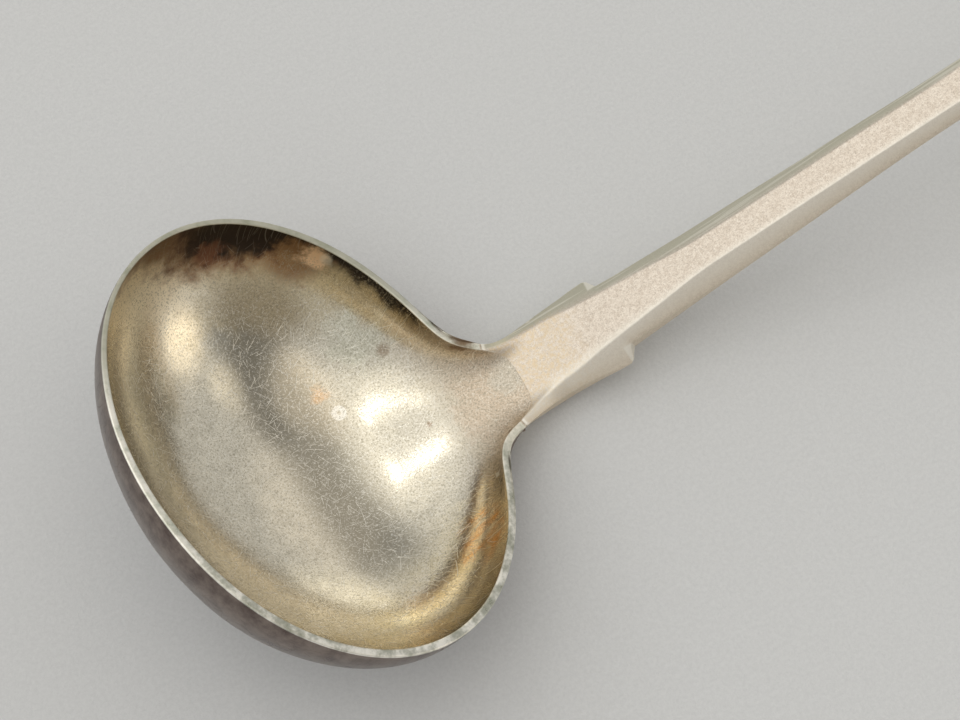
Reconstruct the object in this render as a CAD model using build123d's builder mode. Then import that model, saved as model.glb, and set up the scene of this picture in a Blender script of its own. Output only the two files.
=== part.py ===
from build123d import *
import os
from math import cos, hypot, radians, sin, sqrt, tan

os.makedirs("parts", exist_ok=True)

# A small fiddle-pattern ladle, lying as it rests on a table. The table is z=0, the
# handle runs along +X, and the origin is where the back of the bowl touches the table.

# Bowl: an oval shell whose rim is drawn out towards the handle into a short lip.
BOWL_LENGTH = 48.8
BOWL_WIDTH = 60.0
BOWL_DEPTH = 19.0
RIM_WALL = 1.0
BASE_WALL = 1.0
RIM_ROUND = 0.2
LIP_REACH = 9.2
LIP_DEPTH = 12.0
LIP_FALL = 1.8
LIP_HALF_OUTSIDE = 6.2
LIP_HALF_INSIDE = 5.5
LIP_SPREAD = 0.35
LIP_SQUARENESS = 6
OUTLINE_TURNS = (0, 8, 16, 25, 35, 45, 56, 67, 77, 85)
LIP_ANGLES = (0, 4, 8, 12, 16, 21, 27, 36, 50, 68, 90)
REAR_ANGLES = (110, 130, 150, 170)

# How far the bowl leans towards the handle when the ladle rests.
REST_TILT = 31.5

# Stem, measured along its straight flat top from the bowl's lip.
STEM_SLOPE = 49.7
STEM_STRAIGHT = 62.0
NECK_AT = 4.0
NECK_HALF = 5.55
EAR_START_AT = 7.5
EAR_START_HALF = 5.85
EAR_FLAT = 1.7
EAR_AT = 12.5
EAR_HALF = 6.3
NOTCH_AT = 13.2
NOTCH_HALF = 4.35
EAR_ROUND = 0.5
BEND_HALF = 3.2
ROOT_THICK = 3.2
EAR_THICK = 3.3
BEND_THICK = 2.2
BEVEL_ANGLE = 35.0
UNDER_BEVEL_ANGLE = 25.0
CREASE_ROUND = 0.6
SECTION_OVERLAP = 4.0

# Half width between the flat top's creases, and between those of the underside, by place
# along the stem.
TOP_CREASES = ((-12, 6.3), (NECK_AT, 4.1), (27, 1.8), (90, 1.8))
UNDER_CREASES = ((2, 5.6), (EAR_AT, 4.6), (30, 2.7), (50, 2.4), (STEM_STRAIGHT, 3.3))

# Tongue: the stem's root continued down the bowl's back.
TONGUE_LENGTH = 11.0
TONGUE_DROP = 8.2
TONGUE_THICK = 1.0
TONGUE_LEAN = 41.0
TONGUE_TIP_SHARE, TONGUE_TIP_HALF = 0.82, 2.9
TONGUE_WIDE_SHARE, TONGUE_WIDE_HALF = 0.4, 4.9
TONGUE_MID_SHARE = 0.56
TONGUE_MID_THICK = 1.5
TONGUE_END_LEAN = 0.15
ROOT_BURIED = 2.0
ROOT_START = 27.0

# Bend and the flat end, measured from where the bend stops.
BEND_RADIUS = 46.0
END_SLOPE = 32.0
END_THICK = 1.9
SHOULDER_AT = -14.5
SHOULDER_HALF = 5.2
WAIST_RUN = 6.0
WAIST_HALF = 5.0
SHOULDER_LEAN = -0.1
WIDEST_SHARE = 0.55
END_HALF = 9.6
END_EDGE_ROUND = 0.5

# Silver-solder film between the stem's root and the bowl.
SOLDER_GAP = 0.12
SOLDER_BEAD = 0.35
FOOTPRINT_RISE = 1.2

# Depth of the blocks the pieces are cut from, and how far the bowl's hollow is carried
# above its rim.
SLAB = 14.0
HOLLOW_RISE = 2.0

# Slack for picking corners and faces by place, and the length that tells an outline's edge
# from the short ones at its corners.
PICK_SLACK = 0.01
FLAT_SLACK = 0.05
LIP_CLEARANCE = 0.5
MIDDLE_STRIP = 1.0
LONG_EDGE = 5.0

half_length = BOWL_LENGTH / 2
half_width = BOWL_WIDTH / 2
tilt = radians(REST_TILT)
rim_height = hypot(half_length * sin(tilt), BOWL_DEPTH * cos(tilt))
touch_x = half_length**2 * sin(tilt) / rim_height
touch_z = -(BOWL_DEPTH**2) * cos(tilt) / rim_height

rim_plane = Plane(
    origin=(-touch_x * cos(tilt) - touch_z * sin(tilt), 0, rim_height),
    x_dir=(cos(tilt), 0, -sin(tilt)),
    z_dir=(sin(tilt), 0, cos(tilt)),
)


def lip_push(y, drop, lip_half):
    """How far the lip carries the wall towards the handle, at y across and drop down."""
    reach = LIP_REACH * max(1 - drop / LIP_DEPTH, 0) ** LIP_FALL
    return reach / (1 + (abs(y) / (lip_half + LIP_SPREAD * drop)) ** LIP_SQUARENESS)


def bowl_outline(turn, side_inset, base_inset, lip_half):
    """The wall's outline at one turn down the quarter-round, from 0 degrees at the rim."""
    along = (half_length - side_inset) * cos(radians(turn))
    across = (half_width - side_inset) * cos(radians(turn))
    drop = (BOWL_DEPTH - base_inset) * sin(radians(turn))
    one_side = LIP_ANGLES + REAR_ANGLES
    other_side = tuple(-angle for angle in reversed(one_side[1:]))
    points = []
    for angle in one_side + (180,) + other_side:
        x = along * cos(radians(angle))
        y = across * sin(radians(angle))
        if abs(angle) < 90:
            x += lip_push(y, drop, lip_half)
        points.append((x, y))
    with BuildSketch(rim_plane.offset(-drop)) as outline:
        with BuildLine():
            Spline(*points, periodic=True)
        make_face()
    return outline.sketch


def bowl_body(side_inset, base_inset, lip_half, rise):
    """The solid inside the wall moved inward by the insets, standing rise above the rim."""
    outlines = [bowl_outline(turn, side_inset, base_inset, lip_half) for turn in OUTLINE_TURNS]
    bottom = rim_plane.from_local_coords((0, 0, base_inset - BOWL_DEPTH))
    loft(sections=outlines + [Vertex(*bottom)])
    if rise > 0:
        extrude(outlines[0], amount=rise, dir=tuple(rim_plane.z_dir))


with BuildPart() as outer_body:
    bowl_body(0, 0, LIP_HALF_OUTSIDE, 0)

with BuildPart() as hollow_body:
    bowl_body(RIM_WALL, BASE_WALL, LIP_HALF_INSIDE, HOLLOW_RISE)

with BuildPart() as film_body:
    bowl_body(-SOLDER_GAP, -SOLDER_GAP, LIP_HALF_OUTSIDE + SOLDER_GAP, SOLDER_GAP)

with BuildPart() as bowl:
    add(outer_body.part)
    add(hollow_body.part, mode=Mode.SUBTRACT)
    rim_face = bowl.faces().filter_by(GeomType.PLANE).sort_by(Axis.Z)[-1]
    fillet(rim_face.edges(), RIM_ROUND)

rise = radians(STEM_SLOPE) - tilt
fall = radians(END_SLOPE)
lip_edge = rim_plane.from_local_coords((half_length - RIM_WALL + LIP_REACH, 0, 0))
stem_plane = Plane(origin=lip_edge, x_dir=(cos(rise), 0, sin(rise)), z_dir=(-sin(rise), 0, cos(rise)))
bend_start = stem_plane.from_local_coords((STEM_STRAIGHT, 0, 0))
bend_end = bend_start + Vector(
    BEND_RADIUS * (sin(rise) + sin(fall)), 0, BEND_RADIUS * (cos(fall) - cos(rise))
)
end_plane = Plane(origin=bend_end, x_dir=(cos(fall), 0, -sin(fall)), z_dir=(sin(fall), 0, cos(fall)))
end_run = (bend_end.Z - END_THICK * cos(fall)) / sin(fall)


def stem_side(along, below):
    """A point of the side view, along the straight stem and below its flat top."""
    spot = stem_plane.from_local_coords((along, 0, -below))
    return (spot.X, spot.Z)


def end_side(along, below):
    """A point of the side view, along the flat end and below its top."""
    spot = end_plane.from_local_coords((along, 0, -below))
    return (spot.X, spot.Z)


def rim_side(x):
    """A point of the side view, on the rim's own plane."""
    spot = rim_plane.from_local_coords((x, 0, 0))
    return (spot.X, spot.Z)


def back_side(drop, proud):
    """A point of the side view, proud of the bowl's back at a given drop below the rim."""
    x = half_length * sqrt(1 - (drop / BOWL_DEPTH) ** 2) + lip_push(0, drop, LIP_HALF_OUTSIDE)
    lean = radians(TONGUE_LEAN)
    spot = rim_plane.from_local_coords((x + proud * sin(lean), 0, -drop - proud * cos(lean)))
    return (spot.X, spot.Z)


def root_curve(grow):
    """Half the plan of the tongue and neck, from the tongue's tip to the narrowest place."""
    return Spline(
        (-TONGUE_LENGTH - grow, 0),
        (-TONGUE_LENGTH * TONGUE_TIP_SHARE, TONGUE_TIP_HALF + grow),
        (-TONGUE_LENGTH * TONGUE_WIDE_SHARE, TONGUE_WIDE_HALF + grow),
        (NECK_AT, NECK_HALF + grow),
        tangents=[(0, 1), (1, 0)],
    )


def bevel_cut(side, stations, slope, below):
    """Cuts one sloping flank. Each station gives a place along, the crease's half width and depth."""
    sections = []
    for along, crease, depth in stations:
        station = Plane(
            origin=stem_plane.from_local_coords((along, 0, -depth)),
            x_dir=(0, side, 0),
            z_dir=(side * cos(rise), 0, side * sin(rise)),
        )
        away = -1 if below else 1
        with BuildSketch(station) as wedge:
            with BuildLine():
                Polyline(
                    (crease, 0),
                    (crease + SLAB, -away * SLAB * tan(radians(slope))),
                    (crease + SLAB, away * SLAB / 4),
                    (crease, away * SLAB / 4),
                    close=True,
                )
            make_face()
        sections.append(wedge.sketch)
    loft(sections=sections, ruled=True, mode=Mode.SUBTRACT)


def thickness_at(along):
    """The straight stem's thickness, which tapers evenly from the ears to the bend."""
    return EAR_THICK + (BEND_THICK - EAR_THICK) * (along - EAR_AT) / (STEM_STRAIGHT - EAR_AT)


def is_crease(edge):
    """Whether an edge parts the stem's flat top from a flank, clear of the bowl."""
    middle = stem_plane.to_local_coords(edge.center())
    on_top = abs(middle.Z) < FLAT_SLACK and middle.X > LIP_CLEARANCE
    return on_top and MIDDLE_STRIP < abs(middle.Y) < NECK_HALF and edge.length > LONG_EDGE


def is_end_edge(edge):
    """Whether an edge runs along the outline of the flat end, above or below."""
    middle = end_plane.to_local_coords(edge.center())
    beyond_shoulder = middle.X > SHOULDER_AT + LONG_EDGE
    return beyond_shoulder and abs(middle.Y) > BEND_HALF and edge.length > 2 * LONG_EDGE


def corners_between(plan, low, high):
    """The corners of a plan whose place along it lies from low to high."""
    return plan.vertices().filter_by_position(Axis.X, low - PICK_SLACK, high + PICK_SLACK)


with BuildPart() as stem:
    with BuildSketch(stem_plane) as stem_plan:
        with BuildLine():
            neck = root_curve(0)
            ear = Spline(
                neck @ 1,
                (EAR_START_AT, EAR_START_HALF),
                (EAR_AT - EAR_FLAT, EAR_HALF),
                tangents=[(1, 0), (1, 0)],
            )
            Polyline(
                ear @ 1,
                (EAR_AT, EAR_HALF),
                (NOTCH_AT, NOTCH_HALF),
                (STEM_STRAIGHT, BEND_HALF),
                (STEM_STRAIGHT + SECTION_OVERLAP, BEND_HALF),
                (STEM_STRAIGHT + SECTION_OVERLAP, 0),
            )
            mirror(about=Plane.XZ)
        make_face()
        fillet(corners_between(stem_plan, EAR_AT, NOTCH_AT), EAR_ROUND)
    extrude(amount=SLAB, both=True)
    with BuildSketch(end_plane) as end_plan:
        with BuildLine():
            widest = end_run * WIDEST_SHARE
            Polyline(
                (-BEND_RADIUS * sin(rise + fall), 0),
                (-BEND_RADIUS * sin(rise + fall), BEND_HALF),
                (SHOULDER_AT, BEND_HALF),
                (SHOULDER_AT, SHOULDER_HALF),
            )
            Spline(
                (SHOULDER_AT, SHOULDER_HALF),
                (SHOULDER_AT + WAIST_RUN, WAIST_HALF),
                (widest, END_HALF),
                tangents=[(1, SHOULDER_LEAN), (1, 0)],
            )
            EllipticalCenterArc((widest, 0), end_run - widest, END_HALF, start_angle=0, arc_size=90)
            mirror(about=Plane.XZ)
        make_face()
        fillet(corners_between(end_plan, SHOULDER_AT, SHOULDER_AT), EAR_ROUND)
    extrude(amount=SLAB, both=True)
    with BuildSketch(Plane.XZ) as side_view:
        with BuildLine():
            Polyline(
                back_side(TONGUE_DROP, -ROOT_BURIED),
                rim_side(ROOT_START),
                stem_side(0, 0),
                stem_side(STEM_STRAIGHT, 0),
            )
            RadiusArc(stem_side(STEM_STRAIGHT, 0), end_side(0, 0), BEND_RADIUS)
            Polyline(
                end_side(0, 0),
                end_side(end_run + SECTION_OVERLAP, 0),
                end_side(end_run + SECTION_OVERLAP, END_THICK),
                end_side(0, END_THICK),
            )
            Spline(
                end_side(0, END_THICK),
                stem_side(STEM_STRAIGHT, BEND_THICK),
                tangents=[(-cos(fall), sin(fall)), (-cos(rise), -sin(rise))],
            )
            Line(stem_side(STEM_STRAIGHT, BEND_THICK), stem_side(EAR_AT, EAR_THICK))
            Spline(
                stem_side(EAR_AT, EAR_THICK),
                stem_side(0, ROOT_THICK),
                back_side(TONGUE_DROP * TONGUE_MID_SHARE, TONGUE_MID_THICK),
                back_side(TONGUE_DROP, TONGUE_THICK),
                tangents=[(-cos(rise), -sin(rise)), (-cos(TONGUE_END_LEAN), sin(TONGUE_END_LEAN))],
            )
            Line(back_side(TONGUE_DROP, TONGUE_THICK), back_side(TONGUE_DROP, -ROOT_BURIED))
        make_face()
    extrude(amount=SLAB, both=True, mode=Mode.INTERSECT)
    for side in (1, -1):
        top_stations = [(along, crease, 0) for along, crease in TOP_CREASES]
        under_stations = [(along, crease, thickness_at(along)) for along, crease in UNDER_CREASES]
        bevel_cut(side, top_stations, BEVEL_ANGLE, False)
        bevel_cut(side, under_stations, UNDER_BEVEL_ANGLE, True)
    fillet(stem.edges().filter_by(is_crease), CREASE_ROUND)
    fillet(stem.edges().filter_by(is_end_edge), END_EDGE_ROUND)
    add(film_body.part, mode=Mode.SUBTRACT)

with BuildPart() as solder_joint:
    with BuildSketch(stem_plane.offset(FOOTPRINT_RISE)) as footprint:
        with BuildLine():
            bead = root_curve(SOLDER_BEAD)
            Line(bead @ 1, (NECK_AT, 0))
            mirror(about=Plane.XZ)
        make_face()
    extrude(amount=-SLAB)
    add(film_body.part, mode=Mode.INTERSECT)
    add(outer_body.part, mode=Mode.SUBTRACT)
    add(hollow_body.part, mode=Mode.SUBTRACT)

bowl.part.label = "bowl"
stem.part.label = "stem"
solder_joint.part.label = "solder_joint"

export_step(bowl.part, "parts/bowl.step")
export_step(stem.part, "parts/stem.step")
export_step(solder_joint.part, "parts/solder_joint.step")
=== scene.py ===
import math

import bpy
import numpy as np
from mathutils import Matrix, Vector, noise


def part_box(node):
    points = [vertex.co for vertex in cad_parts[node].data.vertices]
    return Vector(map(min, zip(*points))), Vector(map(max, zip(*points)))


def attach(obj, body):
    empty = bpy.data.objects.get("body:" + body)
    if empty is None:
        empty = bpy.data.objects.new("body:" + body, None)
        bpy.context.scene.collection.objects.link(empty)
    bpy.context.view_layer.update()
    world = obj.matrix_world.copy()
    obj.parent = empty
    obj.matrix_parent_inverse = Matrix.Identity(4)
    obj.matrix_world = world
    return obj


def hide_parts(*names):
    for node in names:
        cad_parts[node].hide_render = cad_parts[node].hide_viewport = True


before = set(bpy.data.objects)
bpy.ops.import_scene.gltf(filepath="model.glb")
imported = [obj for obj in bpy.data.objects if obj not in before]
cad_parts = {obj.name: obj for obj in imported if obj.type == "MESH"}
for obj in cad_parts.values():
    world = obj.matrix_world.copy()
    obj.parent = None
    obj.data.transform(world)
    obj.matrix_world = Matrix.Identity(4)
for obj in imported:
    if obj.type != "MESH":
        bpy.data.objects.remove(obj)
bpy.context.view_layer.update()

# ---------------------------------------------------------------- driving sizes, mm
# The shapes are worked out in two local frames. The rim frame has x towards the handle,
# y across and z square to the rim. The stem frame has "along" up the flat top from the
# lip, y across and "over" square to the flat top.
bowl_low, bowl_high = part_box("bowl")
stem_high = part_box("stem")[1]
HALF_WIDTH = (bowl_high.y - bowl_low.y) * 500
BOWL_HALF_LENGTH = HALF_WIDTH * 0.8133
BOWL_DEPTH = HALF_WIDTH * 0.6333
RIM_WALL = HALF_WIDTH * 0.0333
BASE_WALL = HALF_WIDTH * 0.0333
END_HALF = stem_high.y * 1000
REST_TILT = math.radians(31.5)

LIP_REACH = 9.2
LIP_DEPTH = 12.0
LIP_FALL = 1.8
LIP_HALF = 5.5
LIP_SPREAD = 0.5
LIP_SKEW = -1.2
LIP_CORNER = 5.3
THIN_AT = math.radians(118)
THINNED = 0.42

STEM_SLOPE = math.radians(49.7)
STEM_STRAIGHT = 62.0
BEND_RADIUS = 46.0
END_SLOPE = math.radians(32)

rim_height = math.hypot(BOWL_HALF_LENGTH * math.sin(REST_TILT), BOWL_DEPTH * math.cos(REST_TILT))
touch_x = BOWL_HALF_LENGTH**2 * math.sin(REST_TILT) / rim_height
touch_z = -(BOWL_DEPTH**2) * math.cos(REST_TILT) / rim_height
rim_turn = Matrix.Rotation(REST_TILT, 3, "Y")
rim_origin = np.array([-touch_x * math.cos(REST_TILT) - touch_z * math.sin(REST_TILT), 0, rim_height])
rim_axes = np.array(rim_turn)

stem_axis = np.array([math.cos(STEM_SLOPE), 0, math.sin(STEM_SLOPE)])
stem_up = np.array([-math.sin(STEM_SLOPE), 0, math.cos(STEM_SLOPE)])
across = np.array([0.0, 1.0, 0.0])
lip_point = np.array([BOWL_HALF_LENGTH - RIM_WALL + LIP_REACH, 0, 0])


def to_world(points):
    """Rim-frame millimetres to the row frame's metres."""
    return (np.asarray(points, float) @ rim_axes.T + rim_origin) / 1000


def unit(vectors):
    return vectors / np.maximum(np.linalg.norm(vectors, axis=-1, keepdims=True), 1e-9)


def hermite(start, leave, end, arrive, share):
    """A smooth curve between two points with a tangent at each end."""
    share = np.asarray(share, float)[..., None]
    square, cube = share**2, share**3
    return (
        (2 * cube - 3 * square + 1) * start
        + (cube - 2 * square + share) * leave
        + (3 * square - 2 * cube) * end
        + (cube - square) * arrive
    )


def resample(points, count):
    """The same polyline cut into equal steps."""
    steps = np.linalg.norm(np.diff(points, axis=0), axis=1)
    length = np.concatenate([[0], np.cumsum(steps)])
    wanted = np.linspace(0, length[-1], count)
    return np.stack([np.interp(wanted, length, points[:, i]) for i in range(3)], axis=1)


def dent(points, size, amount, seed):
    """Slow hand-made unevenness: one smooth random value for each point."""
    offset = Vector((seed * 17.3, seed * 5.1, seed * 9.7))
    return amount * np.array([noise.noise(Vector(p) / size + offset) for p in points])


def make_mesh(name, points, faces, local):
    """A smooth-shaded object from rim-frame points, keeping local millimetres for its material."""
    mesh = bpy.data.meshes.new(name)
    mesh.from_pydata([tuple(p) for p in to_world(points)], [], faces)
    mesh.shade_smooth()
    place = mesh.attributes.new("place", "FLOAT_VECTOR", "POINT")
    place.data.foreach_set("vector", np.asarray(local, np.float32).ravel())
    mesh.update()
    thing = bpy.data.objects.new(name, mesh)
    bpy.context.scene.collection.objects.link(thing)
    return thing


def tube_faces(rings, columns, closed=True):
    """Quads between neighbouring rings of equal length."""
    faces = []
    for ring in range(rings - 1):
        for column in range(columns if closed else columns - 1):
            after = (column + 1) % columns
            low, high = ring * columns, (ring + 1) * columns
            faces.append((low + column, low + after, high + after, high + column))
    return faces


# ---------------------------------------------------------------- bowl
def lip_push(y, drop):
    """How far the lip carries the inner wall towards the handle."""
    reach = LIP_REACH * np.maximum(1 - drop / LIP_DEPTH, 0) ** LIP_FALL
    squareness = 2.4 + 3.6 * np.exp(-drop / 2.0)
    half = LIP_HALF + LIP_SPREAD * drop
    return reach / (1 + (np.abs(y - LIP_SKEW) / half) ** squareness)


def wall_at(angle):
    """The wall is worn thinner along the far side of the rim."""
    return RIM_WALL * (1 - THINNED * np.maximum(np.cos(angle - THIN_AT), 0) ** 2)


def inner(angle, turn):
    """The bowl's inner wall, turn 0 at the rim and a quarter turn at the bottom."""
    angle, turn = np.broadcast_arrays(np.asarray(angle, float), np.asarray(turn, float))
    drop = (BOWL_DEPTH - BASE_WALL) * np.sin(turn)
    y = (HALF_WIDTH - wall_at(angle)) * np.cos(turn) * np.sin(angle)
    x = (BOWL_HALF_LENGTH - wall_at(angle)) * np.cos(turn) * np.cos(angle)
    x = x + np.where(np.cos(angle) > 0, lip_push(y, drop), 0)
    return np.stack([x, y, -drop], axis=-1)


def outward(angle, turn):
    """The inner wall's normal, pointing into the metal."""
    step = 1e-4
    low = np.maximum(np.asarray(turn, float), step)
    by_angle = inner(angle + step, low) - inner(angle - step, low)
    by_turn = inner(angle, low + step) - inner(angle, low - step)
    normal = unit(np.cross(by_angle, by_turn))
    flat = np.asarray(turn, float)[..., None] < 1e-3
    level = normal * np.where(flat, np.array([1.0, 1.0, 0.0]), 1.0)
    return -unit(level)


def outer(angle, turn):
    thickness = wall_at(angle) + (BASE_WALL - wall_at(angle)) * np.sin(turn)
    return inner(angle, turn) + np.asarray(thickness)[..., None] * outward(angle, turn)


rim_half = HALF_WIDTH - RIM_WALL
lip_from = math.asin((LIP_SKEW - LIP_CORNER) / rim_half)
lip_to = math.asin((LIP_SKEW + LIP_CORNER) / rim_half)
PATCH_END = 4.0
PATCH_DROP = 2.5
SEAM_SHARE = 0.42


def crease_half(along):
    """Half the flat top's width along the stem."""
    places = (0, 4, 10, 19, 27, STEM_STRAIGHT, 200)
    return np.interp(along, places, (4.6, 4.0, 3.35, 2.5, 1.85, 1.8, 1.8))


def stem_point(along, y, over):
    """A point given in the straight stem's own frame, in the rim frame."""
    along, y, over = np.broadcast_arrays(*(np.asarray(v, float) for v in (along, y, over)))
    return lip_point + along[..., None] * stem_axis + y[..., None] * across + over[..., None] * stem_up


def lip_angle(share):
    """Share -1 to 1 across the lip to the bowl's own angle."""
    return np.where(share < 0, -share * lip_from, share * lip_to)


def trough(share, travel):
    """The channel's surface, from the bowl's wall (travel 0) up to the flat stem (travel 1)."""
    angle = lip_angle(share)
    drop = PATCH_DROP * (1 - share**2)
    turn = np.arcsin(drop / (BOWL_DEPTH - BASE_WALL))
    step = 1e-3
    start = inner(angle, turn)
    up_wall = unit(inner(angle, turn) - inner(angle, turn + step))
    along_rim = unit(inner(angle - np.sign(share) * step, turn) - inner(angle, turn))
    edge = np.abs(share)[..., None] ** 3
    leave = unit(up_wall * (1 - edge) + along_rim * edge)
    end = stem_point(PATCH_END, share * crease_half(PATCH_END), 0)
    narrowing = (crease_half(PATCH_END + 1) - crease_half(PATCH_END)) * share
    arrive = unit(stem_axis + narrowing[..., None] * across)
    reach = np.linalg.norm(end - start, axis=-1, keepdims=True)
    return hermite(start, leave * reach, end, arrive * reach, travel)


def seam_travel(share):
    return SEAM_SHARE * np.maximum(1 - share**2, 0) ** 0.7


LIP_COLUMNS = 33
WALL_COLUMNS = 210
WALL_RINGS = 40
TOP_RINGS = 16
TOP_ZONE = math.radians(12)
POLE = math.radians(88.6)
EDGE_ROUND = 0.16
BAND_POINTS = 8


def bowl_columns():
    """The bowl's angles, close together at the lip's corners and wide apart opposite."""
    lip = lip_from + (lip_to - lip_from) * np.linspace(0, 1, LIP_COLUMNS)
    steps = np.linspace(0, 1, WALL_COLUMNS + 2)[1:-1]
    eased = steps - 0.75 / (2 * math.pi) * np.sin(2 * math.pi * steps)
    wall = lip_to + (2 * math.pi + lip_from - lip_to) * eased
    return np.concatenate([lip, wall])


def lip_share(angle):
    """Share across the lip for a column, or None off the lip."""
    if lip_from <= angle <= lip_to:
        return angle / abs(lip_from) if angle < 0 else angle / lip_to
    return None


def bowl_profile(angle):
    """One column of the bowl, from the inner pole over the rim to the outer pole."""
    share = lip_share(angle)
    low = inner(angle, np.linspace(POLE, TOP_ZONE, WALL_RINGS))
    if share is None:
        zone = inner(angle, np.linspace(TOP_ZONE, 0, 20))
    else:
        drop = PATCH_DROP * (1 - share**2)
        start = math.asin(drop / (BOWL_DEPTH - BASE_WALL))
        wall = inner(angle, np.linspace(TOP_ZONE, start, 12))
        travel = np.linspace(0, float(seam_travel(np.float64(share))), 10)[1:]
        zone = np.concatenate([wall, trough(np.full(len(travel), share), travel)])
    zone = resample(zone, TOP_RINGS + 1)[1:]
    inside = np.concatenate([low, zone])
    sunk = 0.0 if share is None else 1.0 - share**2
    start = 0.0 if share is None else math.asin(max(-zone[-1, 2], 0) / BOWL_DEPTH) * sunk
    outside = outer(angle, start + (POLE - start) * np.linspace(0, 1, WALL_RINGS + TOP_RINGS) ** 1.25)
    in_edge, out_edge = inside[-1], outside[0]
    round_size = EDGE_ROUND if share is None else EDGE_ROUND * (0.25 + 0.75 * abs(share) ** 8)
    down_in = unit(inside[-3] - in_edge)
    down_out = unit(outside[2] - out_edge)
    over = unit(out_edge - in_edge)
    width = np.linalg.norm(out_edge - in_edge)
    band = [
        in_edge + down_in * round_size,
        in_edge + (down_in * 0.3 + over * 0.3) * round_size,
        in_edge + over * round_size,
        in_edge + over * width * 0.35,
        in_edge + over * width * 0.65,
        out_edge - over * round_size,
        out_edge + (down_out * 0.3 - over * 0.3) * round_size,
        out_edge + down_out * round_size,
    ]
    return np.concatenate([inside[:-1], band, outside[1:]]), len(inside) - 1


def build_bowl():
    columns = bowl_columns()
    profiles = [bowl_profile(angle) for angle in columns]
    rings = len(profiles[0][0])
    grid = np.stack([p for p, _ in profiles], axis=1)
    rim_start = profiles[0][1]
    points = grid.reshape(-1, 3)
    faces = tube_faces(rings, len(columns))
    faces = [tuple(reversed(f)) for f in faces]
    bottom_in = inner(0.0, math.pi / 2)
    bottom_out = bottom_in - np.array([0, 0, BASE_WALL])
    first, last = len(points), len(points) + 1
    points = np.concatenate([points, [bottom_in, bottom_out]])
    count = len(columns)
    for column in range(count):
        after = (column + 1) % count
        faces.append((first, column, after))
        faces.append((last, (rings - 1) * count + after, (rings - 1) * count + column))
    wobble = dent(points, 11.0, 0.12, 1) + dent(points, 4.0, 0.02, 2)
    centre = np.array([0, 0, 6.0])
    points = points + wobble[:, None] * unit(points - centre)
    ring_of = np.concatenate([np.repeat(np.arange(rings), count), [0, rings - 1]])
    side = np.where(ring_of < rim_start, 1.0, np.where(ring_of < rim_start + BAND_POINTS, 0.5, 0.0))
    on_lip = np.concatenate([np.tile(np.arange(count) < LIP_COLUMNS, rings), [False, False]])
    side = np.where(on_lip & (side == 0.5), 1.0, side)
    thing = make_mesh("ladle_bowl", points, faces, points)
    zone = thing.data.attributes.new("side", "FLOAT", "POINT")
    zone.data.foreach_set("value", side.astype(np.float32))
    return thing


bowl = build_bowl()


# ---------------------------------------------------------------- stem
def flow(at, stations):
    """A smooth value along the stem through a few (place, value) pairs, without overshoot."""
    places, values = np.array(stations, float).T
    slopes = np.diff(values) / np.diff(places)
    tangents = np.zeros(len(values))
    rising = slopes[:-1] * slopes[1:] > 0
    before, after = slopes[:-1][rising], slopes[1:][rising]
    tangents[1:-1][rising] = 2 * before * after / (before + after)
    at = np.clip(at, places[0], places[-1])
    left = np.clip(np.searchsorted(places, at, side="right") - 1, 0, len(places) - 2)
    run = places[left + 1] - places[left]
    share = (at - places[left]) / run
    start, end = values[left], values[left + 1]
    leave, arrive = tangents[left] * run, tangents[left + 1] * run
    blend = hermite(np.array([start]), np.array([leave]), np.array([end]), np.array([arrive]), share)
    return float(blend[0])


bend_turn = STEM_SLOPE - REST_TILT + END_SLOPE
BEND_END = STEM_STRAIGHT + BEND_RADIUS * bend_turn
EAR_AT = 12.0
NOTCH_AT = 13.1
SHOULDER_AT = BEND_END - 14.7
ROOT_THICK = 3.2
BEND_THICK = 2.2
END_THICK = 1.9
TOP_BEVEL = math.tan(math.radians(35))
UNDER_BEVEL = math.tan(math.radians(25))

# The flat end stops where its underside meets the table.
bend_rise = BEND_RADIUS * (math.cos(END_SLOPE) - math.cos(STEM_SLOPE - REST_TILT))
stem_rise = STEM_SLOPE - REST_TILT
end_height = to_world(lip_point)[2] * 1000 + STEM_STRAIGHT * math.sin(stem_rise) + bend_rise
END_RUN = (end_height - END_THICK * math.cos(END_SLOPE)) / math.sin(END_SLOPE)
WIDEST_AT = BEND_END + END_RUN * 0.55
TIP_AT = BEND_END + END_RUN - 0.05

WIDTHS = [
    (PATCH_END, 5.6), (7.5, 5.85), (10.6, 6.22), (11.7, 6.28), (12.3, 6.0), (12.8, 5.1), (13.3, 4.45),
    (20, 4.2), (33, 3.92), (45, 3.58), (STEM_STRAIGHT, 3.2),
    (SHOULDER_AT - 0.4, 3.2), (SHOULDER_AT + 0.5, 5.2), (SHOULDER_AT + 6, 5.05),
    (SHOULDER_AT + 16, 6.6), (WIDEST_AT, END_HALF),
]
CREASES = [
    (PATCH_END, 4.0), (10, 3.35), (19, 2.5), (27, 1.85), (STEM_STRAIGHT, 1.8), (78, 2.6), (TIP_AT, 2.6),
]
KEELS = [(PATCH_END, 5.2), (12.5, 4.6), (30, 2.7), (50, 2.4), (70, 2.9), (TIP_AT, 2.9)]
THICKS = [
    (PATCH_END, ROOT_THICK), (12.5, 3.3), (STEM_STRAIGHT, BEND_THICK),
    (BEND_END, END_THICK), (TIP_AT, END_THICK),
]
SOFTENING = [(PATCH_END, 1), (STEM_STRAIGHT, 1), (78, 0.22), (TIP_AT, 0.22)]

TOP_SHARES = (0.0, 0.15, 0.3, 0.45, 0.6, 0.74, 0.86)
UNDER_SHARES = (0.86, 0.66, 0.44, 0.22, 0.0)


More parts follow.
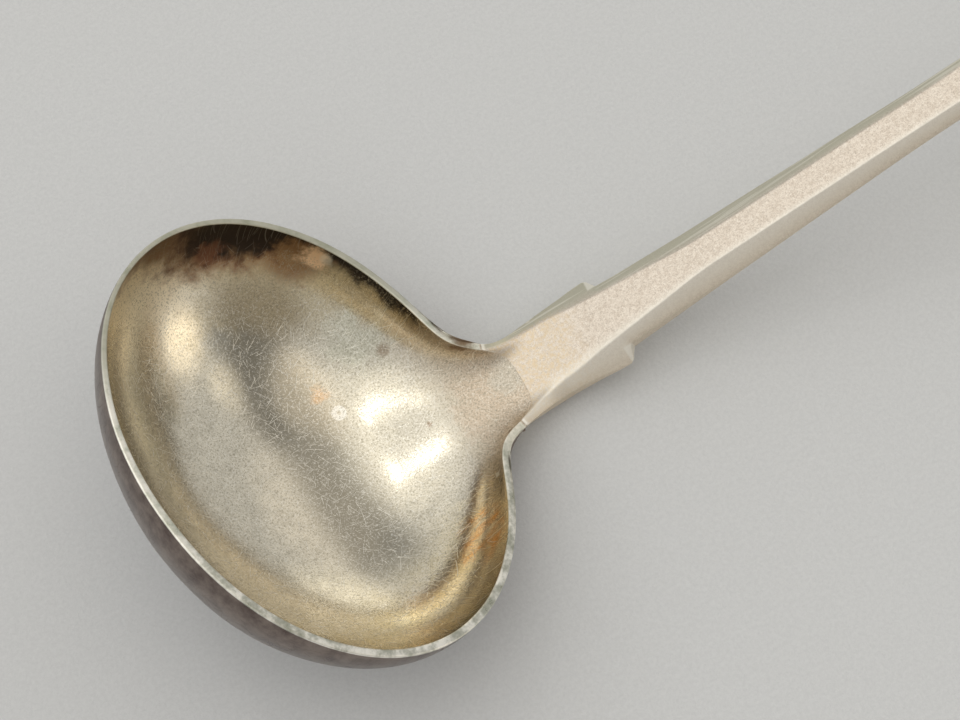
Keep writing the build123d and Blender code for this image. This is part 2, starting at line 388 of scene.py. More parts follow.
def stem_frame(along):
    """Origin, axis and up of the stem's section at an arc length along its flat top."""
    if along <= STEM_STRAIGHT:
        return lip_point + along * stem_axis, stem_axis, stem_up
    turned = min((along - STEM_STRAIGHT) / BEND_RADIUS, bend_turn)
    beyond = max(along - BEND_END, 0)
    axis = stem_axis * math.cos(turned) - stem_up * math.sin(turned)
    up = stem_up * math.cos(turned) + stem_axis * math.sin(turned)
    start = lip_point + STEM_STRAIGHT * stem_axis
    spot = start + BEND_RADIUS * (math.sin(turned) * stem_axis - (1 - math.cos(turned)) * stem_up)
    return spot + beyond * axis, axis, up


def rounded(before, corner, after, size):
    """Five points round a corner, starting and ending size away from it."""
    to_before, to_after = before - corner, after - corner
    near = min(size, 0.45 * np.linalg.norm(to_before), 0.45 * np.linalg.norm(to_after))
    start, end = corner + unit(to_before) * near, corner + unit(to_after) * near
    return [(1 - t) ** 2 * start + 2 * t * (1 - t) * corner + t**2 * end for t in (0, 0.25, 0.5, 0.75, 1)]


def half_section(top, crease, edge, low_edge, keel, bottom, crease_round, edge_round):
    """One side of a closed section, from the middle of the top to the middle of the underside."""
    points = list(top)
    points += rounded(top[-1], crease, edge, crease_round)
    points += [crease + (edge - crease) * t for t in (0.5, 0.75)]
    points += rounded(crease, edge, low_edge, edge_round)
    points += rounded(edge, low_edge, keel, edge_round)
    points.append((low_edge + keel) / 2)
    points += rounded(low_edge, keel, bottom[0], 0.5)
    points += list(bottom)
    return np.array(points)


def stem_section(along, side):
    """Half of a plain section of the stem or the flat end."""
    origin, axis, up = stem_frame(along)
    if along > WIDEST_AT:
        share = min((along - WIDEST_AT) / (TIP_AT - WIDEST_AT), 1)
        width = max(END_HALF * math.sqrt(1 - share**2), 0.4)
    else:
        width = flow(along, WIDTHS)
    soft = flow(along, SOFTENING)
    thick = flow(along, THICKS)
    crease = min(flow(along, CREASES), width - 0.3)
    crease = crease * soft + (width - 0.45) * (1 - soft)
    keel = min(flow(along, KEELS), width - 0.2)
    keel = keel * soft + (width - 0.4) * (1 - soft)
    edge_drop = min((width - crease) * TOP_BEVEL, thick - 0.9)
    low_drop = max(thick - (width - keel) * UNDER_BEVEL, edge_drop + 0.45)

    def at(y, down):
        return origin + side * y * across - down * up

    top = [at(crease * share, -0.04 * (1 - share**2)) for share in TOP_SHARES]
    bottom = [at(keel * share, thick) for share in UNDER_SHARES]
    crease_round = 1.0 if side < 0 else 0.55
    corners = at(crease, 0), at(width, edge_drop), at(width, low_drop), at(keel, thick)
    return half_section(top, *corners, bottom, crease_round, 0.14)


TONGUE_DROP = 8.4
ROOT_DROP = 4.8
TONGUE_HALF = 4.7
TONGUE_PROUD = 0.95
BURIED = 0.5
KEEL_SHARE = 0.93


def back_point(y, drop, proud):
    """A point on the bowl's back at y across and drop down, standing proud of it."""
    turn = math.asin(min(drop / (BOWL_DEPTH - BASE_WALL), 1))
    angle = math.asin(y / ((HALF_WIDTH - RIM_WALL) * math.cos(turn)))
    return outer(angle, turn) + proud * outward(angle, turn)


def tongue_section(share, side):
    """Half of a section of the tongue: share 0 at its tip, 1 where it leaves the bowl."""
    half = TONGUE_HALF * math.sqrt(max(1 - (1 - share) ** 2, 0.004))
    drop = TONGUE_DROP + (ROOT_DROP - TONGUE_DROP) * share
    proud = TONGUE_PROUD * (0.55 + 0.75 * share)
    top = [back_point(side * half * s, drop, -BURIED) for s in TOP_SHARES]
    bottom = [
        back_point(side * half * s, drop, proud * math.sqrt(1 - 0.6 * s**2)) for s in UNDER_SHARES
    ]
    keel = back_point(side * half * KEEL_SHARE, drop, proud * 0.62)
    edge = back_point(side * half, drop, -0.25)
    low_edge = back_point(side * half, drop, 0.1)
    crease = back_point(side * half * 0.95, drop, -BURIED)
    return half_section(top, crease, edge, low_edge, keel, bottom, 0.3, 0.1)


def root_section(travel, side):
    """Half of a section between the bowl's rim (travel 0) and the plain stem (travel 1)."""
    shares = np.array(TOP_SHARES) * side
    starts = seam_travel(shares)
    top = trough(shares, starts + (1 - starts) * travel)
    crease = trough(np.array([float(side)]), np.array([travel]))[0]
    corner = lip_angle(np.float64(side))
    step = 0.01
    rim_edge = outer(corner, 0.0)
    rim_way = unit(outer(corner - side * step, 0.0) - rim_edge)
    plain = stem_section(PATCH_END, side)
    ahead = stem_section(PATCH_END + 0.5, side)
    way = unit(ahead - plain)
    edge_at, low_at, keel_at = len(TOP_SHARES) + 9, len(TOP_SHARES) + 14, len(TOP_SHARES) + 20

    def bridge(start, leave, index):
        reach = np.linalg.norm(plain[index] - start)
        return hermite(start, leave * reach, plain[index], way[index] * reach, travel)

    edge = bridge(rim_edge, rim_way, edge_at)
    below = outer(corner, 0.05) - np.array([0, 0, 0.25])
    low_edge = bridge(below, rim_way, low_at)
    keel_start = back_point(side * TONGUE_HALF * KEEL_SHARE, ROOT_DROP - 0.6, 0.8)
    keel_way = unit(back_point(side * TONGUE_HALF * KEEL_SHARE, ROOT_DROP - 1.2, 0.8) - keel_start)
    keel = bridge(keel_start, keel_way, keel_at)
    bottom = []
    for order, share in enumerate(UNDER_SHARES):
        start = back_point(side * TONGUE_HALF * share, ROOT_DROP - 0.4, TONGUE_PROUD * 1.35)
        leave = unit(back_point(side * TONGUE_HALF * share, ROOT_DROP - 1.4, TONGUE_PROUD * 1.35) - start)
        bottom.append(bridge(start, leave, len(plain) - len(UNDER_SHARES) + order))
    crease_round = 0.16 + (0.84 if side < 0 else 0.39) * travel
    return half_section(top, crease, edge, low_edge, keel, bottom, crease_round, 0.14)


def buried_section(share, side):
    """Half of a hidden section inside the bowl's wall, from the tongue up to the seam."""
    low, high = tongue_section(1.0, side), root_section(0.0, side)
    section = low + (high - low) * share * 0.9
    hidden = len(TOP_SHARES) + 12
    corner = float(inner(lip_angle(np.float64(side)), 0.0)[1])
    for index in range(hidden):
        spread = TOP_SHARES[index] if index < len(TOP_SHARES) else 0.97
        y = side * TONGUE_HALF * spread * (1 - share) + abs(corner) * side * spread * share
        drop = ROOT_DROP * (1 - share) + (0.55 + 1.2 * (1 - spread**2)) * share
        section[index] = back_point(y, drop, -BURIED)
    return section


def full_section(half, place):
    """Both halves of a section as one closed loop."""
    right, left = half(place, 1), half(place, -1)
    return np.concatenate([right, left[-2:0:-1]])


def build_stem():
    fine = np.arange(EAR_AT - 0.9, NOTCH_AT + 0.7, 0.11)
    shoulder = np.arange(SHOULDER_AT - 0.8, SHOULDER_AT + 1.2, 0.13)
    plain = np.concatenate([
        np.arange(PATCH_END + 0.5, fine[0], 0.6), fine, np.arange(fine[-1] + 0.5, STEM_STRAIGHT, 1.3),
        np.arange(STEM_STRAIGHT, shoulder[0], 1.2), shoulder, np.arange(shoulder[-1] + 0.6, WIDEST_AT, 1.0),
        WIDEST_AT + (TIP_AT - WIDEST_AT) * np.sin(np.linspace(0, math.pi / 2, 16)),
    ])
    sections = [full_section(tongue_section, share) for share in (0.0, 0.1, 0.25, 0.45, 0.7, 1.0)]
    sections += [full_section(buried_section, share) for share in (0.25, 0.5, 0.75, 1.0)]
    tongue_count = len(sections)
    sections += [full_section(root_section, travel) for travel in np.linspace(0, 1, 15)]
    root_count = len(sections) - tongue_count
    sections += [full_section(stem_section, along) for along in plain]
    points = np.concatenate(sections)
    columns = len(sections[0])
    faces = [tuple(reversed(face)) for face in tube_faces(len(sections), columns)]
    faces.append(tuple(range(columns)))
    last = (len(sections) - 1) * columns
    faces.append(tuple(last + column for column in reversed(range(columns))))
    along = [-8 + 4 * i / tongue_count for i in range(tongue_count)]
    along += [-4 + 8 * i / (root_count - 1) for i in range(root_count)] + list(plain)
    local = np.array([
        (place, point[1], column)
        for place, section in zip(along, sections)
        for column, point in enumerate(section)
    ])
    half = columns // 2
    local[:, 2] = np.minimum(local[:, 2], columns - local[:, 2]) / half
    wobble = dent(points, 9.0, 0.05, 3)
    points = points + wobble[:, None] * np.array([-0.6, 0.3, 0.8])
    return make_mesh("ladle_stem", points, faces, local)


stem = build_stem()


# ---------------------------------------------------------------- solder
BEAD_RADIUS = 0.3
BEAD_SIDES = 10
BEAD_STEPS = 110


def build_solder():
    """The bead along the root's outline, from one corner of the lip round the tongue to the other."""
    path = []
    for side in (-1, 1):
        corner = lip_angle(np.float64(side))
        rim_edge = outer(corner, 0.02) - np.array([0, 0, 0.45])
        way = [rim_edge]
        for share in np.linspace(1, 0.02, 24):
            half = TONGUE_HALF * math.sqrt(1 - (1 - share) ** 2)
            drop = TONGUE_DROP + (ROOT_DROP - TONGUE_DROP) * share
            way.append(back_point(side * half, drop, 0.0))
        path = path + way if side < 0 else path + way[::-1]
    path = resample(np.array(path), BEAD_STEPS)
    lift = np.array([-0.35, 0, 0.15])
    points = []
    for spot, ahead in zip(path, np.gradient(path, axis=0)):
        across_way = unit(np.cross(ahead, lift))
        square_way = unit(np.cross(across_way, ahead))
        swell = 1 + 0.45 * noise.noise(Vector(spot) * 0.6)
        for step in range(BEAD_SIDES):
            turn = 2 * math.pi * step / BEAD_SIDES
            offset = across_way * math.cos(turn) + square_way * math.sin(turn)
            points.append(spot + BEAD_RADIUS * swell * offset)
    faces = tube_faces(len(path), BEAD_SIDES)
    faces.append(tuple(reversed(range(BEAD_SIDES))))
    last = len(points) - BEAD_SIDES
    faces.append(tuple(last + step for step in range(BEAD_SIDES)))
    points = np.array(points)
    return make_mesh("ladle_solder", points, faces, points)


solder = build_solder()


# ---------------------------------------------------------------- materials
class Recipe:
    """Short calls for laying out the nodes of one material or world."""

    def __init__(self, name, owner=None):
        self.owner = owner or bpy.data.materials.new(name)
        self.owner.use_nodes = True
        self.tree = self.owner.node_tree
        self.shader = self.tree.nodes["Background" if owner else "Principled BSDF"]

    def node(self, kind, settings=None, **inputs):
        made = self.tree.nodes.new(kind)
        for key, value in (settings or {}).items():
            setattr(made, key, value)
        for key, value in inputs.items():
            self.feed(made.inputs[key.replace("_", " ")], value)
        return made

    def feed(self, socket, value):
        if isinstance(value, bpy.types.NodeSocket):
            self.tree.links.new(value, socket)
        else:
            socket.default_value = value

    def math(self, operation, first, second=0.0, clamp=False):
        made = self.node("ShaderNodeMath", {"operation": operation, "use_clamp": clamp})
        self.feed(made.inputs[0], first)
        self.feed(made.inputs[1], second)
        return made.outputs[0]

    def step(self, value, low, high, start=0.0, end=1.0):
        """An eased step from start at low to end at high."""
        made = self.node("ShaderNodeMapRange", {"interpolation_type": "SMOOTHSTEP"})
        keys = ("Value", "From Min", "From Max", "To Min", "To Max")
        for key, given in zip(keys, (value, low, high, start, end)):
            self.feed(made.inputs[key], given)
        return made.outputs[0]

    def both(self, *values):
        """The product of several masks."""
        result = values[0]
        for value in values[1:]:
            result = self.math("MULTIPLY", result, value, True)
        return result

    def mix(self, share, first, second):
        made = self.node("ShaderNodeMix", {"data_type": "RGBA"})
        self.feed(made.inputs[0], share)
        self.feed(made.inputs[6], first)
        self.feed(made.inputs[7], second)
        return made.outputs[2]

    def noise(self, vector, size, detail=4.0, roughness=0.55, distortion=0.0):
        """Soft cloud noise whose blotches are about size millimetres."""
        made = self.node("ShaderNodeTexNoise", Vector=vector, Scale=1 / size, Detail=detail)
        made.inputs["Roughness"].default_value = roughness
        made.inputs["Distortion"].default_value = distortion
        return made.outputs["Fac"]

    def vector(self, attribute):
        return self.node("ShaderNodeAttribute", {"attribute_name": attribute}).outputs["Vector"]

    def value(self, attribute):
        return self.node("ShaderNodeAttribute", {"attribute_name": attribute}).outputs["Fac"]

    def turned(self, vector, turn, stretch):
        """The same coordinates turned about z, then stretched."""
        rotated = self.node("ShaderNodeMapping", Vector=vector, Rotation=(0, 0, turn))
        return self.node("ShaderNodeMapping", Vector=rotated.outputs[0], Scale=stretch).outputs[0]

    def strokes(self, vector, size, width, shift):
        """Short curved scratches: one faint stroke at its own angle in each cell of a loose grid."""
        moved = self.node("ShaderNodeMapping", Vector=vector, Location=(shift, shift * 0.7, 0)).outputs[0]
        cell = self.node("ShaderNodeTexVoronoi", {"voronoi_dimensions": "2D"}, Vector=moved, Scale=1 / size)
        off = self.node("ShaderNodeVectorMath", {"operation": "SUBTRACT"})
        self.feed(off.inputs[0], moved)
        self.feed(off.inputs[1], cell.outputs["Position"])
        dx, dy, _ = self.node("ShaderNodeSeparateXYZ", Vector=off.outputs[0]).outputs
        chance = self.node("ShaderNodeSeparateColor", Color=cell.outputs["Color"]).outputs
        turn = self.math("MULTIPLY", chance[0], 2 * math.pi)
        cosine, sine = self.math("COSINE", turn), self.math("SINE", turn)
        run = self.math("ADD", self.math("MULTIPLY", dx, cosine), self.math("MULTIPLY", dy, sine))
        aside = self.math("SUBTRACT", self.math("MULTIPLY", dy, cosine), self.math("MULTIPLY", dx, sine))
        bow = self.math("MULTIPLY", self.math("SUBTRACT", chance[1], 0.5), 0.15 / size)
        bowed = self.math("ADD", aside, self.math("MULTIPLY", bow, self.math("MULTIPLY", run, run)))
        line = self.step(self.math("ABSOLUTE", bowed), width * 0.35, width, 1.0, 0.0)
        line = self.math("MULTIPLY", line, self.math("ADD", self.math("MULTIPLY", chance[1], 0.75), 0.25))
        length = self.math("MULTIPLY", self.math("ADD", chance[2], 0.4), size * 0.55)
        ends = self.step(self.math("SUBTRACT", length, self.math("ABSOLUTE", run)), 0.0, size * 0.2)
        return self.both(line, ends)

    def scuffed(self, vector, sizes, width):
        """Several layers of strokes laid over one another."""
        result = 0.0
        for order, size in enumerate(sizes):
            layer = self.strokes(vector, size, width, 3.7 * order + 1.3)
            result = self.math("MAXIMUM", result, layer)
        return result

    def distance(self, vector, spot):
        gap = self.node("ShaderNodeVectorMath", {"operation": "DISTANCE"})
        self.feed(gap.inputs[0], vector)
        gap.inputs[1].default_value = spot
        return gap.outputs["Value"]

    def blob(self, vector, spot, size, wobble):
        """A soft spot: 1 in its middle and 0 beyond its size, with an edge broken up by the wobble."""
        return self.step(self.math("ADD", self.distance(vector, spot), wobble), size, size * 0.35)

    def worn_edges(self, low, high):
        """1 on sharp convex edges, where handling has rubbed the metal bright."""
        return self.step(self.node("ShaderNodeNewGeometry").outputs["Pointiness"], low, high)

    def finish(self, color, roughness, height, depth=0.05, metallic=1.0, coat=0.0):
        self.shader.inputs["Coat Weight"].default_value = coat
        self.shader.inputs["Coat Roughness"].default_value = 0.12
        self.feed(self.shader.inputs["Base Color"], color)
        self.feed(self.shader.inputs["Roughness"], roughness)
        self.feed(self.shader.inputs["Metallic"], metallic)
        bump = self.node("ShaderNodeBump", Height=height, Strength=0.6)
        bump.inputs["Distance"].default_value = depth / 1000
        self.feed(self.shader.inputs["Normal"], bump.outputs[0])
        return self.owner


def rgb(red, green, blue):
    return (red, green, blue, 1.0)


SILVER = rgb(0.80, 0.735, 0.60)
DULL_SILVER = rgb(0.64, 0.59, 0.48)
BRIGHT_SILVER = rgb(0.96, 0.93, 0.85)
SPECK = rgb(0.33, 0.30, 0.23)
TAN = rgb(0.97, 0.87, 0.68)
STRAW = rgb(1.0, 0.91, 0.72)
GOLD = rgb(1.0, 0.85, 0.55)
ORANGE = rgb(0.98, 0.48, 0.12)
OLIVE = rgb(0.60, 0.51, 0.34)
DARK_TAN = rgb(0.84, 0.72, 0.53)
SAGE = rgb(0.66, 0.66, 0.52)
PEACH = rgb(0.66, 0.55, 0.43)
# Painted shade: a grey that darkens parts of the bowl's inside.
PAINTED_SHADE_GREY = rgb(0.60, 0.56, 0.475)
BROWN = rgb(0.27, 0.165, 0.09)
RUST = rgb(0.22, 0.105, 0.065)
SOOT = rgb(0.030, 0.024, 0.022)
COPPER = rgb(1.0, 0.74, 0.53)
CHALK = rgb(0.92, 0.90, 0.84)
REFLECTED_GREY_GREEN = rgb(0.50, 0.52, 0.42)
DARK_GREEN = rgb(0.10, 0.10, 0.06)
ROSE_SILVER = rgb(0.80, 0.72, 0.63)

# Single marks on the inside of the bowl: place in the rim frame, radius, colour and strength.
MARKS = (
    # Painted shade: darkens the wall below the lip, which mirrors a bright patch of the room.
    ((21.5, -1.0, -8.5), 8.0, PAINTED_SHADE_GREY, 0.75),
    ((27.5, -1.5, -2.0), 7.5, PEACH, 0.9),
    # Painted shade in the crease where the bowl meets the stem.
    ((31.0, 0.5, -1.2), 3.2, PAINTED_SHADE_GREY, 0.7),
    ((12.0, 23.5, -3.6), 4.6, BROWN, 0.8),
    ((14.0, 23.0, -2.2), 2.3, COPPER, 0.9),
    ((15.2, 22.2, -1.6), 1.2, CHALK, 0.5),
    ((2.1, 27.9, -4.6), 2.6, RUST, 0.6),
    ((-6.8, 27.7, -1.2), 3.0, BROWN, 0.6),
    ((18.0, 13.5, -8.0), 5.5, SAGE, 0.45),
    ((12.8, 10.1, -13.7), 1.5, ORANGE, 0.3),
    ((20.2, 10.9, -7.2), 1.3, BROWN, 0.6),
    ((21.8, -0.2, -8.3), 0.55, BROWN, 0.8),
    ((27.0, -6.7, -1.8), 0.45, BROWN, 0.8),
    # Painted shade: a small brown spot that dims a reflected glint at the +y lip corner.
    ((25.9, 5.6, -0.6), 1.3, BROWN, 0.7),
    ((9.8, 21.8, -9.2), 4.5, OLIVE, 0.6),
)
RING_AT = (14.2, 6.9, -13.6)
FIRE_AT = (18.0, -17.4, -4.8)


def bowl_material():
    m = Recipe("tarnished_bowl")
    place = m.vector("place")
    parts = m.node("ShaderNodeSeparateXYZ", Vector=place)
    x, y, z = parts.outputs
    side = m.value("side")
    drop = m.math("MULTIPLY", z, -1.0)
    cloud = m.noise(place, 9.0, 5.0, 0.6)
    mottle = m.noise(place, 2.2, 6.0, 0.65)
    grain = m.noise(place, 0.35, 3.0, 0.6)
    fine = m.math("MULTIPLY", m.math("SUBTRACT", mottle, 0.5), 9.0)
    ragged = m.math("ADD", m.math("MULTIPLY", m.math("SUBTRACT", cloud, 0.5), 14.0), fine)

    inside = m.mix(m.step(mottle, 0.3, 0.75), SILVER, DULL_SILVER)
    back_wall = m.step(m.math("ADD", x, ragged), -6.0, -17.0)
    back_wall = m.both(back_wall, m.step(drop, 15, 8), 0.9)
    inside = m.mix(back_wall, inside, m.mix(m.step(mottle, 0.35, 0.7), TAN, DARK_TAN))
    low_side = m.step(m.math("ADD", y, m.math("MULTIPLY", ragged, 0.6)), -9.0, -18.0)
    low_side = m.both(low_side, m.step(drop, 16, 9), 0.95)
    inside = m.mix(low_side, inside, m.mix(m.step(mottle, 0.3, 0.7), STRAW, GOLD))
    # Painted reflection: a dark band across the bowl's middle stands for a dark part of the room that the
    # bowl mirrors.
    bend = m.math("MULTIPLY", m.math("POWER", m.math("MAXIMUM", y, 0.0), 2.0), 0.012)
    aside = m.math("ABSOLUTE", m.math("ADD", m.math("ADD", x, bend), -10.0))
    aside = m.math("ADD", aside, m.math("MULTIPLY", fine, 0.3))
    dark_reflection_band = m.both(m.step(aside, 6.0, 1.5), m.step(y, -18.0, -12.0), m.step(drop, 8.0, 11.0), 0.78)
    inside = m.mix(dark_reflection_band, inside, rgb(0.25, 0.23, 0.185))
    lip_tan = m.both(m.step(m.math("ADD", x, ragged), 15.0, 24.0), m.step(drop, 9.0, 2.0), 0.8)
    inside = m.mix(lip_tan, inside, PEACH)
    rays = m.noise(m.turned(place, -0.33, (0.10, 1.0, 0.2)), 1.2, 4.0)
    fire = m.both(m.blob(place, FIRE_AT, 8.0, fine), m.step(rays, 0.40, 0.64))
    inside = m.mix(fire, inside, m.mix(m.blob(place, FIRE_AT, 5.0, fine), GOLD, ORANGE))
    high_side = m.math("ADD", y, m.math("MULTIPLY", drop, -0.75))
    high_side = m.math("ADD", high_side, m.math("MULTIPLY", ragged, 0.7))
    tan_zone = m.step(high_side, 7.0, 15.0, 0.0, 0.82)
    inside = m.mix(tan_zone, inside, m.mix(m.step(m.math("ADD", x, fine), -3.0, 5.0), TAN, OLIVE))
    brown_side = m.math("ADD", high_side, m.step(x, -1.0, -7.0, 0.0, -3.0))
    brown_zone = m.step(brown_side, 18.5, 23.0, 0.0, 0.9)
    inside = m.mix(brown_zone, inside, m.mix(m.step(mottle, 0.35, 0.65), BROWN, RUST))
    strip = m.step(m.math("ADD", drop, m.math("MULTIPLY", fine, 0.5)), 3.0, 1.0)
    strip = m.both(strip, m.step(x, 10.0, 14.0), m.step(y, 8.5, 11.5))
    soot = m.math("MAXIMUM", m.step(high_side, 21.5, 25.0), strip)
    soot = m.both(soot, m.step(m.math("ADD", x, fine), -6.0, 1.0))
    inside = m.mix(m.both(soot, 0.97), inside, SOOT)
    for spot, size, tint, strength in MARKS:
        share = m.both(m.blob(place, spot, size, m.math("MULTIPLY", fine, size * 0.22)), strength)
        inside = m.mix(share, inside, tint)
    from_ring = m.math("ABSOLUTE", m.math("SUBTRACT", m.distance(place, RING_AT), 0.62))
    inside = m.mix(m.step(from_ring, 0.45, 0.25, 0.0, 0.8), inside, CHALK)
    speck = m.noise(place, 0.24, 3.0, 0.75)
    unsooted = m.step(soot, 0.5, 0.05)
    inside = m.mix(m.both(m.step(speck, 0.50, 0.64, 0.0, 0.7), unsooted), inside, SPECK)
    glint = m.both(m.step(speck, 0.47, 0.32, 0.0, 0.6), m.step(high_side, 22.0, 14.0))
    inside = m.mix(glint, inside, BRIGHT_SILVER)
    clean = m.step(high_side, 18.0, 9.0, 0.15, 1.0)
    hair = m.both(m.scuffed(place, (0.8, 1.1, 1.5, 2.0, 2.6), 0.03), clean)
    inside = m.mix(m.math("MULTIPLY", hair, 0.8), inside, BRIGHT_SILVER)

    # The rim band is painted reflection: grey-green broken by bright silver, darker green towards -y and
    # dark olive towards +y.
    band = m.mix(m.step(mottle, 0.25, 0.65), REFLECTED_GREY_GREEN, BRIGHT_SILVER)
    low_band = m.both(m.step(m.math("ADD", y, ragged), -4.0, -20.0), m.step(mottle, 0.62, 0.4), 0.4)
    band = m.mix(low_band, band, DARK_GREEN)
    high_band = m.both(m.step(m.math("ADD", y, ragged), 6.0, 20.0), 0.65)
    band = m.mix(high_band, band, rgb(0.34, 0.34, 0.25))
    # The bowl's dark brown outside is partly tarnish and partly painted shade.
    outside = m.mix(m.step(mottle, 0.3, 0.7), rgb(0.12, 0.088, 0.078), rgb(0.27, 0.22, 0.19))
    is_inside = m.step(side, 0.7, 0.9)
    is_outside = m.step(side, 0.3, 0.1)
    color = m.mix(is_inside, band, inside)
    color = m.mix(is_outside, color, outside)
    # Painted shade: brown at the +y lip corner that dims a reflected glint there.
    lip_corner_shade = m.blob(place, (26.6, 6.8, -0.4), 2.4, m.math("MULTIPLY", fine, 0.4))
    color = m.mix(m.both(lip_corner_shade, 0.85), color, BROWN)

    stain = m.step(high_side, 12.0, 22.0)
    rough = m.math("ADD", m.math("MULTIPLY", mottle, 0.12), 0.11)
    rough = m.math("ADD", rough, m.math("MULTIPLY", stain, 0.2))
    rough = m.math("ADD", rough, m.math("MULTIPLY", m.step(x, 21.0, 25.5), 0.32))
    rough = m.math("ADD", rough, m.math("MULTIPLY", m.step(is_inside, 0.5, 0.0), 0.12))
    rough = m.math("ADD", rough, m.math("MULTIPLY", hair, 0.15), True)
    height = m.math("ADD", m.math("MULTIPLY", grain, 0.5), m.math("MULTIPLY", mottle, 0.5))
    height = m.math("SUBTRACT", height, m.math("MULTIPLY", hair, 0.35))
    worn = m.both(m.worn_edges(0.53, 0.58), m.step(drop, 1.6, 0.8), 0.8)
    color = m.mix(worn, color, BRIGHT_SILVER)
    return m.finish(color, rough, height, 0.03)


def stem_material():
    m = Recipe("satin_stem")
    place = m.vector("place")
    parts = m.node("ShaderNodeSeparateXYZ", Vector=place)
    along, y, ring = parts.outputs
    solid = m.node("ShaderNodeNewGeometry").outputs["Position"]
    solid = m.turned(solid, 0.0, (1000, 1000, 1000))
    mottle = m.noise(solid, 0.5, 6.0, 0.75)
    cloud = m.noise(solid, 5.0, 4.0, 0.6)
    grain = m.noise(solid, 0.17, 3.0, 0.75)
    color = m.mix(m.step(mottle, 0.40, 0.62), ROSE_SILVER, rgb(0.68, 0.595, 0.505))
    color = m.mix(m.step(grain, 0.50, 0.66, 0.0, 0.6), color, rgb(0.46, 0.40, 0.34))
    color = m.mix(m.step(grain, 0.47, 0.32, 0.0, 0.5), color, BRIGHT_SILVER)
    blush = m.step(m.math("ADD", along, m.math("MULTIPLY", cloud, 8.0)), 15.0, 7.0)
    blush = m.both(blush, m.step(mottle, 0.42, 0.6), 0.6)
    color = m.mix(blush, color, rgb(0.86, 0.70, 0.46))
    hair = m.scuffed(solid, (1.2, 1.7, 2.6, 4.0), 0.03)
    color = m.mix(m.math("MULTIPLY", hair, 0.35), color, BRIGHT_SILVER)
    # Painted reflection: the +y flank is tinted grey-green and the -y flank warm tan for what each side
    # faces.
    left_flank_reflection = m.both(m.step(ring, 0.30, 0.36), m.step(y, 0.5, 1.5))
    green = m.mix(mottle, rgb(0.44, 0.44, 0.33), rgb(0.66, 0.65, 0.53))
    color = m.mix(m.both(left_flank_reflection, 0.75), color, green)
    right_flank_reflection = m.both(m.step(ring, 0.30, 0.36), m.step(y, -0.5, -1.5))
    warm = m.mix(mottle, rgb(0.88, 0.78, 0.62), rgb(0.66, 0.57, 0.45))
    color = m.mix(m.both(right_flank_reflection, 0.6), color, warm)
    drawn = m.noise(m.turned(place, 0.0, (0.05, 2.6, 9.0)), 1.0, 3.0)
    color = m.mix(m.both(left_flank_reflection, m.step(drawn, 0.5, 0.62), 0.45), color, BRIGHT_SILVER)
    # Painted highlight: a soft bright line along the -y crease of the stem.
    crease_highlight = m.both(m.step(ring, 0.10, 0.24), m.step(ring, 0.44, 0.30), m.step(y, -0.4, -1.4), 0.6)
    color = m.mix(crease_highlight, color, BRIGHT_SILVER)
    # Painted highlight on the end faces of the ears.
    ear_end_highlight = m.both(m.step(along, 11.9, 12.2), m.step(along, 13.5, 13.2))
    ear_end_highlight = m.both(ear_end_highlight, m.step(m.math("ABSOLUTE", y), 4.3, 4.6), 0.7)
    color = m.mix(ear_end_highlight, color, BRIGHT_SILVER)
    rough = m.math("ADD", m.math("MULTIPLY", mottle, 0.2), 0.4)
    height = m.math("ADD", m.math("MULTIPLY", grain, 0.6), m.math("MULTIPLY", mottle, 0.4))
    height = m.math("SUBTRACT", height, m.math("MULTIPLY", hair, 0.3))
    color = m.mix(m.math("MULTIPLY", m.worn_edges(0.51, 0.56), 0.6), color, BRIGHT_SILVER)
    return m.finish(color, rough, height, 0.04)


def solder_material():
    m = Recipe("solder_residue")
    place = m.vector("place")
    mottle = m.noise(place, 0.9, 5.0, 0.65)
    color = m.mix(m.step(mottle, 0.35, 0.65), rgb(0.10, 0.06, 0.045), rgb(0.36, 0.29, 0.24))
    rough = m.math("ADD", m.math("MULTIPLY", mottle, 0.3), 0.35)
    return m.finish(color, rough, mottle, 0.08, 0.8)


bowl.data.materials.append(bowl_material())
stem.data.materials.append(stem_material())
solder.data.materials.append(solder_material())
for piece, node, slot in (
    (bowl, "bowl", "bowl_metal"),
    (stem, "stem", "stem_metal"),
    (solder, "solder_joint", "solder"),
):
    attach(piece, "root")
    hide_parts(node)


# ---------------------------------------------------------------- floor, light and camera
def build_floor():
    """A flat pale sheet of paper, just touched by the lowest point of the bowl."""
    span = 0.9
    low = min(vertex.co.z for vertex in bowl.data.vertices)
    mesh = bpy.data.meshes.new("floor")
    corners = [(-span, -span, low), (span, -span, low), (span, span, low), (-span, span, low)]
    mesh.from_pydata(corners, [], [(0, 1, 2, 3)])
    thing = bpy.data.objects.new("floor", mesh)
    bpy.context.scene.collection.objects.link(thing)
    m = Recipe("pale_paper")
    solid = m.node("ShaderNodeNewGeometry").outputs["Position"]
    solid = m.turned(solid, 0.0, (1000, 1000, 1000))
    fibre = m.noise(solid, 0.5, 4.0, 0.7)
    color = m.mix(m.step(fibre, 0.3, 0.7), rgb(0.66, 0.67, 0.68), rgb(0.71, 0.72, 0.73))
    mesh.materials.append(m.finish(color, 0.8, fibre, 0.1, 0.0))


def area_light(name, spot, aim, size, height, power, warmth):
    light = bpy.data.lights.new(name, "AREA")
    light.shape = "RECTANGLE"
    light.size, light.size_y = size, height
    light.energy = power
    light.color = warmth
    thing = bpy.data.objects.new(name, light)
    thing.location = spot
    thing.rotation_euler = (Vector(aim) - Vector(spot)).to_track_quat("-Z", "Y").to_euler()
    bpy.context.scene.collection.objects.link(thing)


def toward(azimuth, elevation):
    """A direction in degrees: azimuth from +X towards +Y, elevation above the table."""
    a, e = math.radians(azimuth), math.radians(elevation)
    return Vector((math.cos(a) * math.cos(e), math.sin(a) * math.cos(e), math.sin(e)))


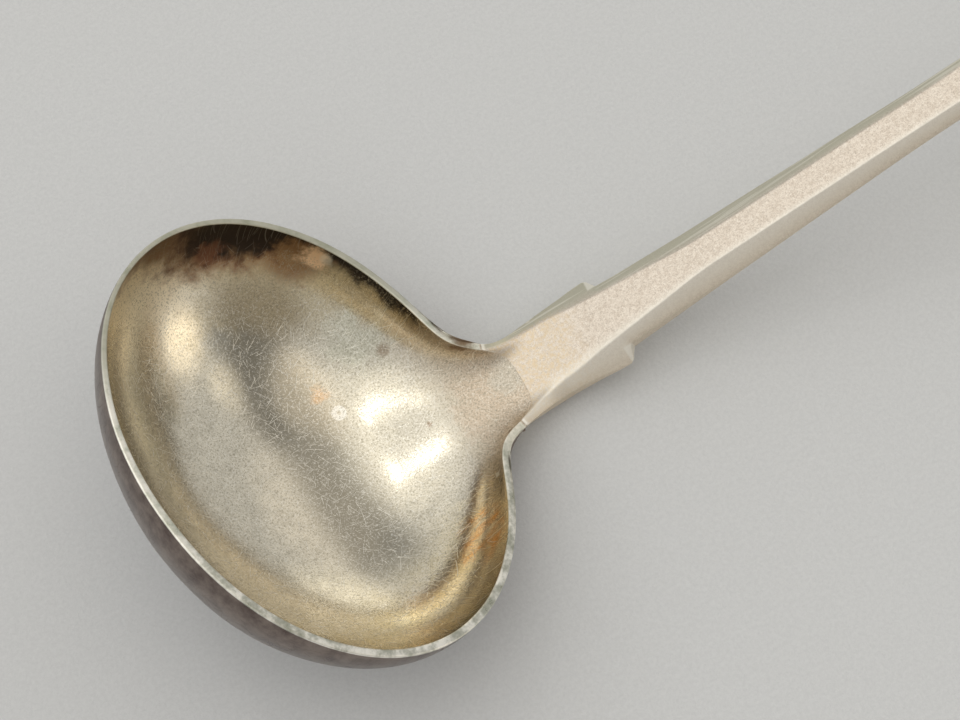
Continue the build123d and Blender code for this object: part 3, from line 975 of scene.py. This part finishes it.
def build_world():
    """A grey room with soft pale and dark patches at places that the bowl reflects."""
    world = bpy.data.worlds.new("studio")
    bpy.context.scene.world = world
    m = Recipe("studio", world)
    way = m.node("ShaderNodeTexCoord").outputs["Generated"]
    color = rgb(0.58, 0.58, 0.57)
    patches = (
        (-75, 36, 34, 14, rgb(0.36, 0.34, 0.31)),
        (148, 50, 42, 16, rgb(1.05, 1.04, 1.01)),
        (38, 42, 30, 10, rgb(0.78, 0.75, 0.70)),
        (-5, 48, 14, 4, rgb(0.40, 0.39, 0.37)),
        (-36, 46, 16, 5, rgb(0.40, 0.39, 0.37)),
        (115, 74, 34, 16, rgb(1.10, 1.08, 1.02)),
        (-28, 72, 20, 6, rgb(1.15, 1.07, 0.95)),
        (-19, 34, 12, 3, rgb(0.95, 0.90, 0.80)),
        (-29, 8, 17, 6, rgb(1.25, 1.15, 0.98)),
        (55, 6, 20, 8, rgb(1.10, 1.05, 0.92)),
    )
    for azimuth, elevation, edge, core, tint in patches:
        facing = m.node("ShaderNodeVectorMath", {"operation": "DOT_PRODUCT"})
        m.feed(facing.inputs[0], way)
        facing.inputs[1].default_value = toward(azimuth, elevation)
        share = m.step(facing.outputs["Value"], math.cos(math.radians(edge)), math.cos(math.radians(core)))
        color = m.mix(share, color, tint)
    m.feed(m.shader.inputs["Color"], color)
    m.shader.inputs["Strength"].default_value = 1.05


def build_lights():
    """Two small lights high on the far side, which make the pair of highlights in the bowl."""
    middle = Vector((0.03, 0, 0.01))
    reach = 0.7
    for name, azimuth, elevation, size, height, power in (
        ("key", 108, 62, 0.075, 0.035, 0.065),
        ("second_key", 160, 78, 0.05, 0.03, 0.04),
    ):
        spot = middle + toward(azimuth, elevation) * reach
        area_light(name, spot, middle, size, height, power, (1.0, 0.98, 0.94))


def build_camera():
    """Two angles and a distance from the rim's centre, then turned to frame the bowl low left."""
    swing, lean, spin = math.radians(36.461), math.radians(19.771), math.radians(-28.946)
    away = Vector((-math.sin(swing) * math.cos(lean), -math.sin(lean), math.cos(swing) * math.cos(lean)))
    right = Vector((0, 1, 0)).cross(away).normalized()
    up = away.cross(right)
    right, up = (
        math.cos(spin) * right + math.sin(spin) * up,
        math.cos(spin) * up - math.sin(spin) * right,
    )
    camera = bpy.data.objects.new("camera", bpy.data.cameras.new("camera"))
    camera.data.lens, camera.data.sensor_width = 75, 36
    camera.data.clip_start = 0.01
    bpy.context.scene.collection.objects.link(camera)
    shift = Vector((-0.0823, -0.0327, -1)).normalized()
    framing = Vector((0, 0, -1)).rotation_difference(shift).to_matrix()
    axes = rim_turn @ (framing @ Matrix((right, up, away))).transposed()
    place = Vector(to_world(np.array(away * 232.26)))
    camera.matrix_world = Matrix.Translation(place) @ axes.to_4x4()
    bpy.context.scene.camera = camera


bpy.context.scene.view_settings.view_transform = "Standard"
build_floor()
build_world()
build_lights()
build_camera()
